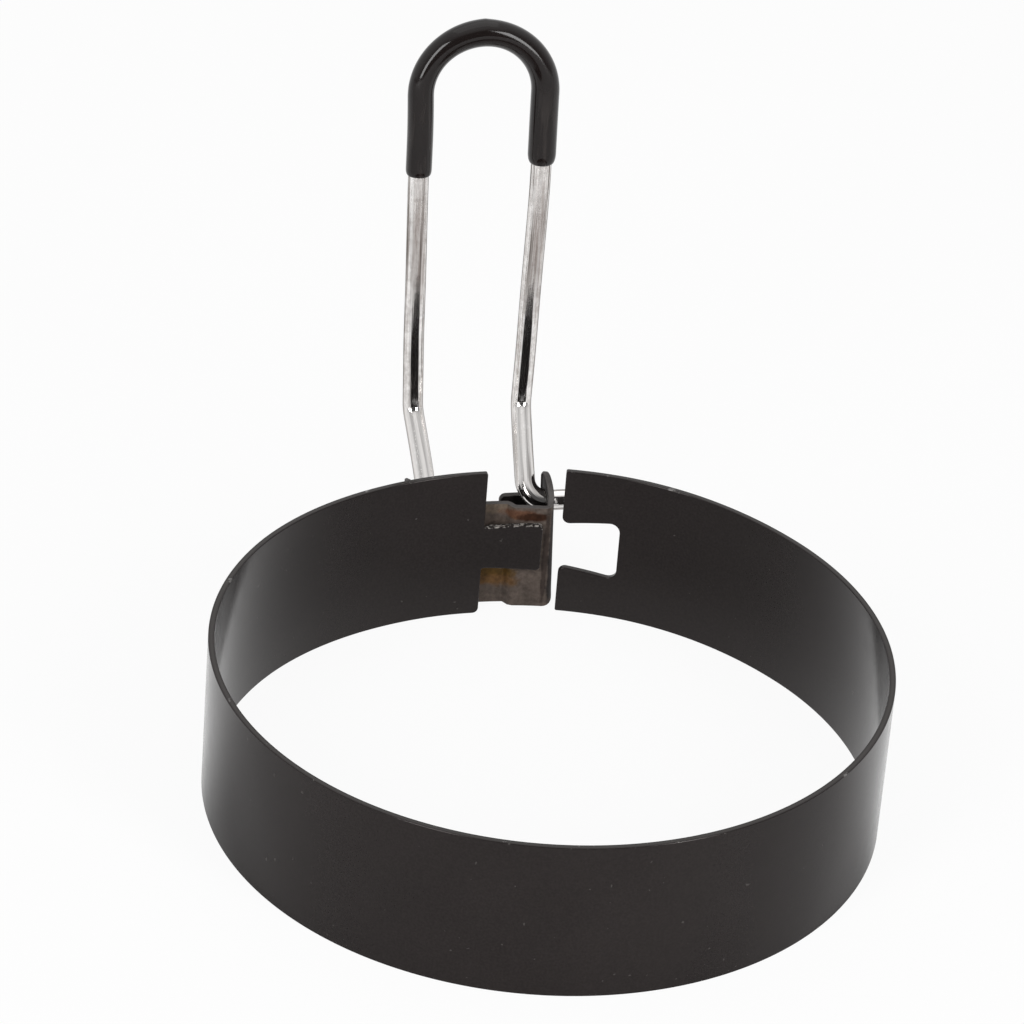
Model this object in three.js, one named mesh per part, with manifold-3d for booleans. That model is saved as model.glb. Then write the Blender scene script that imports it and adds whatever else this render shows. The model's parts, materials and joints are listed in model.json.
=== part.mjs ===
// Egg ring with a tilting wire handle, in millimetres, +Z up, standing in the pan on z = 0.
// A strip of coated sheet steel is rolled into a ring whose two ends have sprung apart. The left
// end carries a dovetail tongue, the right end the notch that takes it when the ring is closed.
// A bent sheet bracket bridges the seam from behind. Its two ears hold the turned-out ends of a
// wire handle, which tilts between the rim of the ring and the lips of the bracket. The top of
// the handle is dipped in vinyl.
// While it is built, the ring's axis is x = y = 0 and the bracket faces +Y.

import * as THREE from 'three';
import { mergeVertices } from 'three/addons/utils/BufferGeometryUtils.js';
import Module from 'manifold-3d';

const wasm = await Module();
wasm.setup();

const { degToRad, smoothstep } = THREE.MathUtils;

// The band. Lengths along the strip are measured on its outer face.
const band = {
  outerDiameter: 101.6,
  height: 25.7,
  sheet: 0.95,
  leftEndPastMiddle: 0.4,
  seamGap: 12.5,
  cornerRadius: 0.3,
  leftLowerCornerRadius: 0.9,
  leftEndSetIn: 0.5,
  leftSteadyLength: 13,
  leftSpringLength: 45,
  rightEndSetOut: 0.65,
  rightSteadyLength: 8,
  rightSpringLength: 40,
};

// The tongue on the left end and the notch in the right end, both widening away from their
// mouths, each about a middle line at its own height
const tongue = {
  middle: 12.05,
  length: 9.5,
  rootWidth: 7.4,
  tipWidth: 8.3,
  rootRadius: 0.4,
  tipRadius: 0.7,
};
const notch = {
  middle: 12.2,
  depth: 9.2,
  mouthWidth: 7.9,
  innerWidth: 10.35,
  mouthRadius: 1.1,
  innerRadius: 1.5,
};

// The bracket: a web against the band, a flange with a round ear on each side, and a lip on each
// flange that the handle leans on. Fold radii are those of the middle of the sheet. The flanges
// lean in towards the ears, so widths are those at the height of the pins.
const bracket = {
  sheet: 0.95,
  width: 23.4,
  toeIn: degToRad(2.6),
  bottom: 0.5,
  webHeight: 18.25,
  middleWidth: 10,
  joggleDepth: 1.2,
  joggleRun: 0.7,
  joggleRadius: 0.6,
  foldRadius: 1,
  depth: 6.2,
  lipLength: 7.6,
  lipCornerRadius: 1,
  lowerCornerRadius: 1.8,
  earRadius: 4,
  earSetback: 0.6,
  earRise: 0.2,
  seatGap: 0.15,
};

// The handle: one wire from pin to pin. Half spans are measured at the wire's centre.
const handle = {
  wireDiameter: 3.2,
  pinSetback: 3.1,
  pinHeight: 17.8,
  pinPastEar: 3.8,
  pinClearance: 0.25,
  elbowRadius: 3.3,
  rootHalfSpan: 7.9,
  lowerLean: degToRad(47.1),
  lowerLength: 16,
  kinkHalfSpan: 8.8,
  kinkRadius: 3,
  upperLean: degToRad(5.8),
  upperLength: 52.9,
  archRadius: 9.75,
  restGap: 0.15,
};

// The vinyl dip: its wall, which has run thicker at the crown and on the right leg, and how far
// it runs down each leg from the arch
const grip = {
  boreGap: 0.08,
  leftWall: 0.34,
  crownWall: 0.52,
  rightWall: 0.52,
  leftLength: 12.95,
  rightLength: 11.8,
  endRounding: 1.1,
  endWallShare: 0.4,
};

// Fineness of the facets, and the overrun that takes a cutter clear of a face
const facets = { strip: degToRad(1.5), bend: degToRad(9), corner: 6, round: 16, hole: 24, dipEnd: 4 };
const overrun = 2;

// Places where the pieces meet, worked out from the sizes above
const ringRadius = band.outerDiameter / 2;
const seatRadius = ringRadius - band.leftEndSetIn;
const leftEnd = band.leftEndPastMiddle / seatRadius;
const rightEnd = leftEnd + band.seamGap / ringRadius;
const endSpare = (band.seamGap - tongue.length) / 3;
const webFront = seatRadius + bracket.seatGap;
const webTop = bracket.bottom + bracket.webHeight;
const flangeOutside = bracket.width / 2;
const flangeInside = flangeOutside - bracket.sheet;
const flangeBottom = bracket.bottom + bracket.lowerCornerRadius;
const flangeBack = webFront + bracket.depth;
const lipFront = flangeBack - bracket.sheet;
const foldOutside = bracket.foldRadius + bracket.sheet / 2;
const wireRadius = handle.wireDiameter / 2;
const pinY = seatRadius + handle.pinSetback;

// The lips end where the lower legs come to lie on their front edges
const restDistance = wireRadius + handle.restGap;
const lipDrop = (restDistance - (lipFront - pinY) * Math.cos(handle.lowerLean)) / Math.sin(handle.lowerLean);
const lipTop = handle.pinHeight - lipDrop;

// Turns a closed three.js geometry into a solid that can be joined and cut
function solidFrom(geometry) {
  const bare = geometry.clone();
  bare.deleteAttribute('normal');
  bare.deleteAttribute('uv');
  const merged = mergeVertices(bare);
  const vertProperties = new Float32Array(merged.attributes.position.array);
  const triVerts = new Uint32Array(merged.index.array);
  return new wasm.Manifold(new wasm.Mesh({ numProp: 3, vertProperties, triVerts }));
}

// Turns a solid back into a three.js geometry
function geometryFrom(solid) {
  const { vertProperties, triVerts } = solid.getMesh();
  const geometry = new THREE.BufferGeometry();
  geometry.setAttribute('position', new THREE.BufferAttribute(vertProperties, 3));
  geometry.setIndex(new THREE.BufferAttribute(triVerts, 1));
  geometry.computeVertexNormals();
  return geometry;
}

// Points of the arc that rounds a corner between the points before and after it
function cornerArc([beforeX, beforeY], [x, y, radius = 0], [afterX, afterY]) {
  const corner = new THREE.Vector2(x, y);
  if (radius === 0) return [corner];
  const arriving = new THREE.Vector2(x - beforeX, y - beforeY).normalize();
  const leaving = new THREE.Vector2(afterX - x, afterY - y).normalize();
  const turn = Math.atan2(arriving.cross(leaving), arriving.dot(leaving));
  const start = corner.clone().addScaledVector(arriving, -radius * Math.tan(Math.abs(turn) / 2));
  const inward = new THREE.Vector2(-arriving.y, arriving.x).multiplyScalar(Math.sign(turn));
  const centre = start.clone().addScaledVector(inward, radius);
  return Array.from({ length: facets.corner + 1 }, (_, k) =>
    start.clone().rotateAround(centre, (turn * k) / facets.corner));
}

// Closed outline through corners [x, y, radius]
function closedOutline(corners) {
  const count = corners.length;
  const points = corners.flatMap((corner, k) =>
    cornerArc(corners[(k + count - 1) % count], corner, corners[(k + 1) % count]));
  return new THREE.Shape(points);
}

// Open line through corners [x, y, radius], its two ends left square
function openLine(corners) {
  const last = corners.length - 1;
  return corners.flatMap((corner, k) =>
    cornerArc(corners[Math.max(k - 1, 0)], corner, corners[Math.min(k + 1, last)]));
}

// Outline of a sheet of even thickness that follows a middle line
function sheetOutline(middleLine, thickness) {
  const offsets = middleLine.map((point, k) => {
    const before = middleLine[Math.max(k - 1, 0)];
    const after = middleLine[Math.min(k + 1, middleLine.length - 1)];
    const arriving = k > 0 ? point.clone().sub(before) : after.clone().sub(point);
    const leaving = k < middleLine.length - 1 ? after.clone().sub(point) : arriving;
    const along = arriving.clone().normalize().add(leaving.clone().normalize()).normalize();
    const mitre = along.dot(arriving.clone().normalize());
    return new THREE.Vector2(-along.y, along.x).multiplyScalar(thickness / 2 / mitre);
  });
  const leftSide = middleLine.map((point, k) => point.clone().add(offsets[k]));
  const rightSide = middleLine.map((point, k) => point.clone().sub(offsets[k]));
  return new THREE.Shape([...leftSide, ...rightSide.reverse()]);
}

// Extrusion of a plan outline from one height to another
function extrudeUp(outline, low, high) {
  const geometry = new THREE.ExtrudeGeometry(outline, { depth: high - low, bevelEnabled: false });
  return geometry.translate(0, 0, low);
}

// Extrusion of an outline drawn in x and z, from one y to another
function extrudeBack(outline, near, far) {
  return extrudeUp(outline, -far, -near).rotateX(Math.PI / 2);
}

// Extrusion of an outline drawn in y and z, from one x to another
function extrudeAcross(outline, near, far) {
  return extrudeUp(outline, near, far).rotateX(Math.PI / 2).rotateZ(Math.PI / 2);
}

// Plan point at a radius and an azimuth, measured from +Y towards +X
function planPoint(radius, azimuth) {
  return new THREE.Vector2(radius * Math.sin(azimuth), radius * Math.cos(azimuth));
}

// Outer radius of the sprung strip, whose azimuth runs from its right end round to its left end
function stripRadius(azimuth) {
  const fromRight = (azimuth - rightEnd) * ringRadius;
  const fromLeft = (2 * Math.PI + leftEnd - azimuth) * ringRadius;
  const rightShare = 1 - smoothstep(fromRight, band.rightSteadyLength, band.rightSpringLength);
  const leftShare = 1 - smoothstep(fromLeft, band.leftSteadyLength, band.leftSpringLength);
  return ringRadius + band.rightEndSetOut * rightShare - band.leftEndSetIn * leftShare;
}

// The plain rolled strip, with enough to spare at both ends for the ends to be cut from it
function rolledStrip() {
  const first = rightEnd - endSpare / ringRadius;
  const last = 2 * Math.PI + leftEnd + (tongue.length + endSpare) / ringRadius;
  const steps = Math.ceil((last - first) / facets.strip);
  const azimuths = Array.from({ length: steps + 1 }, (_, k) => first + ((last - first) * k) / steps);
  const outside = azimuths.map((azimuth) => planPoint(stripRadius(azimuth), azimuth));
  const inside = azimuths.map((azimuth) => planPoint(stripRadius(azimuth) - band.sheet, azimuth));
  return solidFrom(extrudeUp(new THREE.Shape([...outside, ...inside.reverse()]), 0, band.height));
}

// What is punched away at one end, drawn on the flat strip with the seam on the side of +x and
// the end at x = 0. A positive reach leaves a tongue standing and a negative one sinks a notch,
// about a middle line at the given height.
// It ends in the gap past the tongue, clear of the other end.
function punchedEnd(middle, reach, nearWidth, farWidth, nearRadius, farRadius, lowerRadius) {
  const back = -overrun;
  const front = Math.max(reach, 0) + 2 * endSpare;
  return [
    [back, -overrun],
    [front, -overrun],
    [front, band.height + overrun],
    [back, band.height + overrun],
    [back, band.height],
    [0, band.height, band.cornerRadius],
    [0, middle + nearWidth / 2, nearRadius],
    [reach, middle + farWidth / 2, farRadius],
    [reach, middle - farWidth / 2, farRadius],
    [0, middle - nearWidth / 2, nearRadius],
    [0, 0, lowerRadius],
    [back, 0],
  ];
}

// A cutter drawn on the flat strip and rolled round with it, so that its walls stay square to
// the sheet. The side is 1 where the seam lies at growing azimuth and -1 where it lies at less.
function rolledCutter(corners, endAzimuth, side) {
  const near = seatRadius - band.sheet - overrun;
  const far = ringRadius + band.rightEndSetOut + overrun;
  const outline = closedOutline(corners.map(([x, z, radius]) => [side * x, z, radius]));
  const geometry = extrudeUp(outline, near, far);
  const { position } = geometry.attributes;
  for (let k = 0; k < position.count; k += 1) {
    const radius = near + far - position.getZ(k);
    const point = planPoint(radius, endAzimuth + position.getX(k) / ringRadius);
    position.setXYZ(k, point.x, point.y, position.getY(k));
  }
  return solidFrom(geometry);
}

// The band: the rolled strip with the tongue and the notch punched in its ends
function ringBand() {
  const leftPunch = punchedEnd(tongue.middle, tongue.length, tongue.rootWidth, tongue.tipWidth,
    tongue.rootRadius, tongue.tipRadius, band.leftLowerCornerRadius);
  const rightPunch = punchedEnd(notch.middle, -notch.depth, notch.mouthWidth, notch.innerWidth,
    notch.mouthRadius, notch.innerRadius, band.cornerRadius);
  return geometryFrom(rolledStrip()
    .subtract(rolledCutter(leftPunch, leftEnd, 1))
    .subtract(rolledCutter(rightPunch, rightEnd, -1)));
}

// Middle line of the bracket's sheet in plan, from the tip of one lip round to that of the other
function bracketMiddleLine() {
  const half = bracket.sheet / 2;
  const sideRadius = webFront + half;
  const middleRadius = sideRadius + bracket.joggleDepth;
  const innerJog = (bracket.middleWidth - bracket.joggleRun) / 2;
  const outerJog = (bracket.middleWidth + bracket.joggleRun) / 2;
  const flangeX = flangeOutside - half;
  const lipY = flangeBack - half;
  const webPoint = (radius, x, fold = 0) => [x, Math.sqrt(radius ** 2 - x ** 2), fold];
  const right = [
    webPoint(middleRadius, innerJog / 2),
    webPoint(middleRadius, innerJog, bracket.joggleRadius),
    webPoint(sideRadius, outerJog, bracket.joggleRadius),
    webPoint(sideRadius, (2 * outerJog + flangeX) / 3),
    webPoint(sideRadius, (outerJog + 2 * flangeX) / 3),
    webPoint(sideRadius, flangeX, bracket.foldRadius),
    [flangeX, lipY, bracket.foldRadius],
    [flangeOutside - bracket.lipLength, lipY],
  ];
  const left = right.map(([x, y, fold]) => [-x, y, fold]).reverse();
  return openLine([...left, webPoint(middleRadius, 0), ...right]);
}

// Room that the web keeps in the folded sheet: rounded lower corners, and a level top
function webRoom() {
  const foldEnd = Math.sqrt(webFront ** 2 - flangeOutside ** 2) + foldOutside;
  const fullWidth = closedOutline([
    [-flangeOutside, bracket.bottom, bracket.lowerCornerRadius],
    [flangeOutside, bracket.bottom, bracket.lowerCornerRadius],
    [flangeOutside, webTop],
    [-flangeOutside, webTop],
  ]);
  const straightWidth = flangeOutside - bracket.lowerCornerRadius;
  const behind = closedOutline([
    [-straightWidth, bracket.bottom],
    [straightWidth, bracket.bottom],
    [straightWidth, webTop],
    [-straightWidth, webTop],
  ]);
  const front = solidFrom(extrudeBack(fullWidth, 0, foldEnd));
  return front.add(solidFrom(extrudeBack(behind, 0, pinY)));
}

// Room that a flange keeps, seen from the side: level below, with a round ear a little behind
// and above the pin
function flangeRoom() {
  const earY = pinY + bracket.earSetback;
  const earHeight = handle.pinHeight + bracket.earRise;
  const backAngle = Math.acos(Math.min(1, (flangeBack - earY) / bracket.earRadius));
  const steps = 2 * facets.corner;
  const arc = Array.from({ length: steps + 1 }, (_, k) => {
    const angle = Math.PI + ((backAngle - Math.PI) * k) / steps;
    return [earY + bracket.earRadius * Math.cos(angle), earHeight + bracket.earRadius * Math.sin(angle)];
  });
  const lowerFront = [earY - bracket.earRadius, flangeBottom];
  const outline = closedOutline([[flangeBack, flangeBottom], lowerFront, ...arc]);
  return solidFrom(extrudeAcross(outline, flangeInside, flangeOutside));
}

// Room that a lip keeps, seen from the front: its tip has rounded corners
function lipRoom() {
  const outline = closedOutline([
    [flangeOutside - bracket.lipLength, flangeBottom, bracket.lipCornerRadius],
    [flangeOutside, flangeBottom],
    [flangeOutside, lipTop],
    [flangeOutside - bracket.lipLength, lipTop, bracket.lipCornerRadius],
  ]);
  return solidFrom(extrudeBack(outline, flangeBack - foldOutside, flangeBack));
}

// Narrows the bracket with height, which leans its flanges in towards the ears
function leanIn(geometry) {
  const { position } = geometry.attributes;
  for (let k = 0; k < position.count; k += 1) {
    const inward = (position.getZ(k) - handle.pinHeight) * Math.tan(bracket.toeIn);
    position.setX(k, position.getX(k) * (1 - inward / flangeOutside));
  }
  geometry.computeVertexNormals();
  return geometry;
}

// The bracket: the folded sheet trimmed to its rooms, with the pin holes drilled through the ears
function handleBracket() {
  const earTop = handle.pinHeight + bracket.earRise + bracket.earRadius;
  const folded = extrudeUp(sheetOutline(bracketMiddleLine(), bracket.sheet), bracket.bottom, earTop);
  const rightRoom = flangeRoom().add(lipRoom());
  const rooms = webRoom().add(rightRoom).add(rightRoom.mirror([1, 0, 0]));
  const holeRadius = wireRadius + handle.pinClearance;
  const drill = new THREE.CylinderGeometry(holeRadius, holeRadius, bracket.width + overrun, facets.hole);
  drill.rotateZ(Math.PI / 2).translate(0, pinY, handle.pinHeight);
  return leanIn(geometryFrom(solidFrom(folded).intersect(rooms).subtract(solidFrom(drill))));
}

// Stations round an arc of the wire that starts at a point and turns about an axis
function arcStations(centre, start, tangent, axis, turn) {
  const steps = Math.ceil(turn / facets.bend);
  return Array.from({ length: steps + 1 }, (_, k) => {
    const angle = (turn * k) / steps;
    const point = start.clone().sub(centre).applyAxisAngle(axis, angle).add(centre);
    return { point, tangent: tangent.clone().applyAxisAngle(axis, angle), wall: 0 };
  });
}

// Stations round the bend that takes the wire from one straight to the next
function bendStations(before, corner, after, radius) {
  const arriving = corner.clone().sub(before).normalize();
  const leaving = after.clone().sub(corner).normalize();
  const turn = arriving.angleTo(leaving);
  const axis = arriving.clone().cross(leaving).normalize();
  const start = corner.clone().addScaledVector(arriving, -radius * Math.tan(turn / 2));
  const centre = start.clone().addScaledVector(axis.clone().cross(arriving), radius);
  return arcStations(centre, start, arriving, axis, turn);
}

// Plane of the upper legs and the arch: its direction upwards, and the arch's centre in it
const upward = new THREE.Vector3(0, Math.sin(handle.upperLean), Math.cos(handle.upperLean));
const kinkMiddle = new THREE.Vector3(0, Math.sin(handle.lowerLean), Math.cos(handle.lowerLean))
  .multiplyScalar(handle.lowerLength);
const archCentre = kinkMiddle.clone().addScaledVector(upward, handle.upperLength);

// Slope of the right upper leg, which runs from its kink to touch the arch's circle
const kinkToCentre = Math.hypot(handle.kinkHalfSpan, handle.upperLength);
const legSlope = Math.atan2(handle.upperLength, -handle.kinkHalfSpan)
  - Math.asin(handle.archRadius / kinkToCentre);

// Stations up one leg from its pin's end to where the arch springs, the side being 1 for the
// right leg. Places are measured from the middle of the pins' axis.
function legStations(side, dipLength, dipWall) {
  const pinEnd = new THREE.Vector3(side * (flangeOutside + handle.pinPastEar), 0, 0);
  const elbow = new THREE.Vector3(side * handle.rootHalfSpan, 0, 0);
  const kink = kinkMiddle.clone().setX(side * handle.kinkHalfSpan);
  const tangent = upward.clone().multiplyScalar(Math.sin(legSlope)).setX(side * Math.cos(legSlope));
  const spring = archCentre.clone()
    .addScaledVector(upward, -handle.archRadius * Math.cos(legSlope))
    .setX(side * handle.archRadius * Math.sin(legSlope));
  const dipEnd = Array.from({ length: facets.dipEnd + 1 }, (_, k) => {
    const angle = (Math.PI / 2) * (k / facets.dipEnd);
    const belowSpring = dipLength - grip.endRounding * (1 - Math.cos(angle));
    const share = grip.endWallShare + (1 - grip.endWallShare) * Math.sin(angle);
    return { point: spring.clone().addScaledVector(tangent, -belowSpring), tangent, wall: dipWall * share };
  });
  return [
    { point: pinEnd, tangent: new THREE.Vector3(-side, 0, 0), wall: 0 },
    ...bendStations(pinEnd, elbow, kink, handle.elbowRadius),
    ...bendStations(elbow, kink, spring, handle.kinkRadius),
    ...dipEnd,
    { point: spring, tangent, wall: dipWall },
  ];
}

// Stations of the whole wire from the right pin to the left one. Each has its point, its
// tangent and the wall of vinyl that it carries there, which eases over the arch from that of
// one leg through that of the crown to that of the other.
function handleStations() {
  const right = legStations(1, grip.rightLength, grip.rightWall);
  const left = legStations(-1, grip.leftLength, grip.leftWall);
  const start = right.pop();
  left.pop();
  const axis = upward.clone().cross(new THREE.Vector3(-1, 0, 0));
  const arch = arcStations(archCentre, start.point, start.tangent, axis, 2 * (Math.PI - legSlope));
  arch.forEach((station, k) => {
    const travelled = k / (arch.length - 1);
    const legWall = travelled < 1 / 2 ? grip.rightWall : grip.leftWall;
    station.wall = legWall + (grip.crownWall - legWall) * Math.sin(Math.PI * travelled) ** 4;
  });
  const down = left.reverse().map((station) => ({ ...station, tangent: station.tangent.clone().negate() }));
  return [...right, ...arch, ...down];
}

// A curve whose even steps fall on given stations, close together in bends and far apart between
class WirePath extends THREE.Curve {
  constructor(stations) {
    super();
    this.stations = stations;
    this.steps = stations.length - 1;
  }

  getPointAt(u) {
    return this.stations[Math.round(u * this.steps)].point.clone();
  }

  getTangentAt(u) {
    return this.stations[Math.round(u * this.steps)].tangent.clone();
  }
}

// The wire: a round section carried along the path
function wireHandle(path) {
  const section = Array.from({ length: facets.round }, (_, k) =>
    planPoint(wireRadius, (2 * Math.PI * k) / facets.round));
  const sweep = { steps: path.steps, extrudePath: path };
  const geometry = new THREE.ExtrudeGeometry(new THREE.Shape(section), sweep);
  return geometryFrom(solidFrom(geometry));
}

// The vinyl: a sleeve turned with one ring for each station, and then bent along the path
function vinylGrip(path) {
  const first = path.stations.findIndex(({ wall }) => wall > 0);
  const dipped = path.stations.filter(({ wall }) => wall > 0);
  const bore = wireRadius + grip.boreGap;
  const inside = dipped.map((_, k) => new THREE.Vector2(bore, k));
  const outside = dipped.map(({ wall }, k) => new THREE.Vector2(bore + wall, k));
  const profile = [...outside, ...inside.reverse(), outside[0].clone()];
  const sleeve = new THREE.LatheGeometry(profile, facets.round);
  const frames = path.computeFrenetFrames(path.steps, false);
  const { position } = sleeve.attributes;
  for (let k = 0; k < position.count; k += 1) {
    const station = first + Math.round(position.getY(k));
    const point = path.stations[station].point.clone()
      .addScaledVector(frames.normals[station], position.getX(k))
      .addScaledVector(frames.binormals[station], -position.getZ(k));
    position.setXYZ(k, point.x, point.y, point.z);
  }
  return geometryFrom(solidFrom(sleeve));
}

// A named mesh with a finish of its own
function namedMesh(name, geometry, finish) {
  const mesh = new THREE.Mesh(geometry, new THREE.MeshStandardMaterial(finish));
  mesh.name = name;
  return mesh;
}

// Finishes, from the look of each piece
const coatedSteel = { color: 0x2b2927, roughness: 0.55, metalness: 0.3 };
const bareSteel = { color: 0x7f6d5c, roughness: 0.45, metalness: 0.8 };
const chromedWire = { color: 0xd0d2d4, roughness: 0.12, metalness: 1 };
const blackVinyl = { color: 0x0b0b0c, roughness: 0.2, metalness: 0 };

// The fixed ring: the band with the bracket on its left end
const ring = new THREE.Group();
ring.add(
  namedMesh('ring_band', ringBand(), coatedSteel),
  namedMesh('handle_bracket', handleBracket(), bareSteel),
);

// The handle, whose group sits on the pins' axis and would turn about its own x
const wirePath = new WirePath(handleStations());
const tiltingHandle = new THREE.Group();
tiltingHandle.position.set(0, pinY, handle.pinHeight);
tiltingHandle.add(
  namedMesh('wire_handle', wireHandle(wirePath), chromedWire),
  namedMesh('vinyl_grip', vinylGrip(wirePath), blackVinyl),
);

// The whole part, moved so that the middle of its footprint's box is the origin
const eggRing = new THREE.Group();
eggRing.add(ring, tiltingHandle);
const extent = new THREE.Box3().setFromObject(eggRing);
eggRing.position.y = -(extent.min.y + extent.max.y) / 2;

export default eggRing;
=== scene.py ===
import json
import math

import bpy
import numpy as np
from mathutils import Matrix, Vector
from mathutils.geometry import delaunay_2d_cdt


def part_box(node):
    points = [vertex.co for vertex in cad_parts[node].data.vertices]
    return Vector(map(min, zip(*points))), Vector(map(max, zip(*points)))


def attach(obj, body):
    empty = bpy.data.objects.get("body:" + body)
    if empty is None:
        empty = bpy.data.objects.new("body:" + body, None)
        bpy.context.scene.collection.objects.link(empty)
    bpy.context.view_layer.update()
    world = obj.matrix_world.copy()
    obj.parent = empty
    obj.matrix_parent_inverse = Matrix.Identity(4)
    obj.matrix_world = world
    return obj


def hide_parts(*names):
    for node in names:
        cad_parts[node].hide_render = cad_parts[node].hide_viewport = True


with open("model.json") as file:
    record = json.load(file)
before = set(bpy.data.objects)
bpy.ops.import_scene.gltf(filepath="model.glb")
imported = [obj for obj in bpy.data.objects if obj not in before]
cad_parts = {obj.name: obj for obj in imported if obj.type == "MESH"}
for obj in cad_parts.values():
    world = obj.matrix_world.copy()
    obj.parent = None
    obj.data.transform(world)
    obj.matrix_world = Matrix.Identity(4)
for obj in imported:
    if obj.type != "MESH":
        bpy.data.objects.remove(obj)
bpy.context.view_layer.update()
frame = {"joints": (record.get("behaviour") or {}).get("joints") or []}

# Egg ring: looks for the coated band, the folded bracket, the chromed wire and the vinyl dip.
# Sizes in the dictionaries are millimetres; meshes are made in metres, where the CAD pieces are.
mm = 0.001
bandLow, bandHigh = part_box("ring_band")
pinHeight = frame["joints"][0]["pos_m"][2] / mm
pinY = frame["joints"][0]["pos_m"][1] / mm
ringY = (bandLow.y + bandHigh.x) / mm


def unit(rows):
    # each row divided by its length
    return rows / np.linalg.norm(rows, axis=-1, keepdims=True)


def roundedCorner(before, corner, after, steps=9):
    # the point where the arc starts, swung about the arc's centre through the corner's turn
    point, radius = np.array(corner[:2], float), corner[2]
    if radius == 0:
        return point[None]
    arriving, leaving = unit(point - before[:2]), unit(np.array(after[:2]) - point)
    turn = math.atan2(arriving[0] * leaving[1] - arriving[1] * leaving[0], arriving @ leaving)
    spoke = math.copysign(radius, turn) * np.array([arriving[1], -arriving[0]])
    centre = point - arriving * radius * math.tan(abs(turn) / 2) - spoke
    angle = np.linspace(0, turn, steps)[:, None]
    return centre + np.cos(angle) * spoke + np.sin(angle) * np.array([-spoke[1], spoke[0]])


def split(points, spacing):
    # each stretch of the line is cut into even lengths no longer than the spacing
    steps = np.diff(points, axis=0)
    counts = np.maximum(1, np.ceil(np.linalg.norm(steps, axis=1) / spacing - 1e-6)).astype(int)
    first = np.cumsum(counts) - counts
    share = (np.arange(counts.sum()) - np.repeat(first, counts)) / np.repeat(counts, counts)
    return np.repeat(points[:-1], counts, axis=0) + np.repeat(steps, counts, axis=0) * share[:, None]


def closedLine(corners, spacing):
    # corners are (x, y, rounding); the line runs from each corner's arc straight to the next and home
    count = len(corners)
    arcs = [roundedCorner(corners[k - 1], corners[k], corners[(k + 1) % count]) for k in range(count)]
    points = np.concatenate(arcs)
    return split(np.concatenate([points, points[:1]]), spacing)


def openLine(corners, spacing):
    # as closedLine, but it stops at the last corner
    last = len(corners) - 1
    arcs = [roundedCorner(corners[max(k - 1, 0)], corners[k], corners[min(k + 1, last)])
            for k in range(last + 1)]
    points = np.concatenate(arcs)
    return np.concatenate([split(points, spacing), points[-1:]])


def alongLine(points):
    # length of the line up to each of its points
    return np.concatenate([[0], np.cumsum(np.linalg.norm(np.diff(points, axis=0), axis=1))])


def insideOf(points, loops):
    # even-odd rule: a point is inside if a ray from it along +x crosses the loops an odd number of times
    inside = np.zeros(len(points), bool)
    for loop in loops:
        a, b = loop, np.roll(loop, -1, axis=0)
        x, y = points[:, :1], points[:, 1:]
        spans = (a[:, 1] > y) != (b[:, 1] > y)
        rise = np.where(b[:, 1] == a[:, 1], 1, b[:, 1] - a[:, 1])
        crossing = spans & (x < a[:, 0] + (y - a[:, 1]) * (b[:, 0] - a[:, 0]) / rise)
        inside ^= crossing.sum(1) % 2 == 1
    return inside


def nearest(points, rim):
    # distance from each point to the closest point of the rim, taken 200 rim points at a time
    gap = np.full(len(points), np.inf)
    for part in np.array_split(rim, max(1, len(rim) // 200)):
        gap = np.minimum(gap, np.linalg.norm(points[:, None] - part[None], axis=2).min(1))
    return gap


def makePiece(name, points, faces, normals, uv=None, marks=None):
    # points, normals and marks are arrays by vertex; a face that looks against its normal is turned over
    flipped = []
    for group in faces:
        a, b, c = (points[group[:, k]] for k in (0, 1, 2))
        looksIn = (np.cross(b - a, c - a) * normals[group[:, 0]]).sum(1) < 0
        group = group.copy()
        group[looksIn] = group[looksIn][:, ::-1]
        flipped += group.tolist()
    mesh = bpy.data.meshes.new(name)
    mesh.from_pydata((points * mm).tolist(), [], flipped)
    mesh.polygons.foreach_set("use_smooth", np.ones(len(flipped), bool))
    corner = np.empty(len(mesh.loops), np.int32)
    mesh.loops.foreach_get("vertex_index", corner)
    if uv is not None:
        layer = mesh.uv_layers.new(name="surface")
        layer.data.foreach_set("uv", (uv[corner] * mm).astype(np.float32).ravel())
    for key, values in (marks or {}).items():
        mesh.attributes.new(key, "FLOAT", "POINT").data.foreach_set("value", values.astype(np.float32))
    mesh.normals_split_custom_set_from_vertices(unit(normals).tolist())
    piece = bpy.data.objects.new(name, mesh)
    bpy.context.scene.collection.objects.link(piece)
    print("made", name, len(mesh.vertices), "points", sum(len(f) - 2 for f in flipped), "triangles")
    return piece


def gridFaces(rows, columns, closedRows=False):
    # quads between neighbours of a grid whose vertices are numbered row by row, closed round its columns
    index = np.arange(rows * columns).reshape(rows, columns)
    if closedRows:
        index = np.concatenate([index, index[:1]])
    index = np.concatenate([index, index[:, :1]], axis=1)
    return np.stack([index[:-1, :-1], index[:-1, 1:], index[1:, 1:], index[1:, :-1]], -1).reshape(-1, 4)


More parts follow.
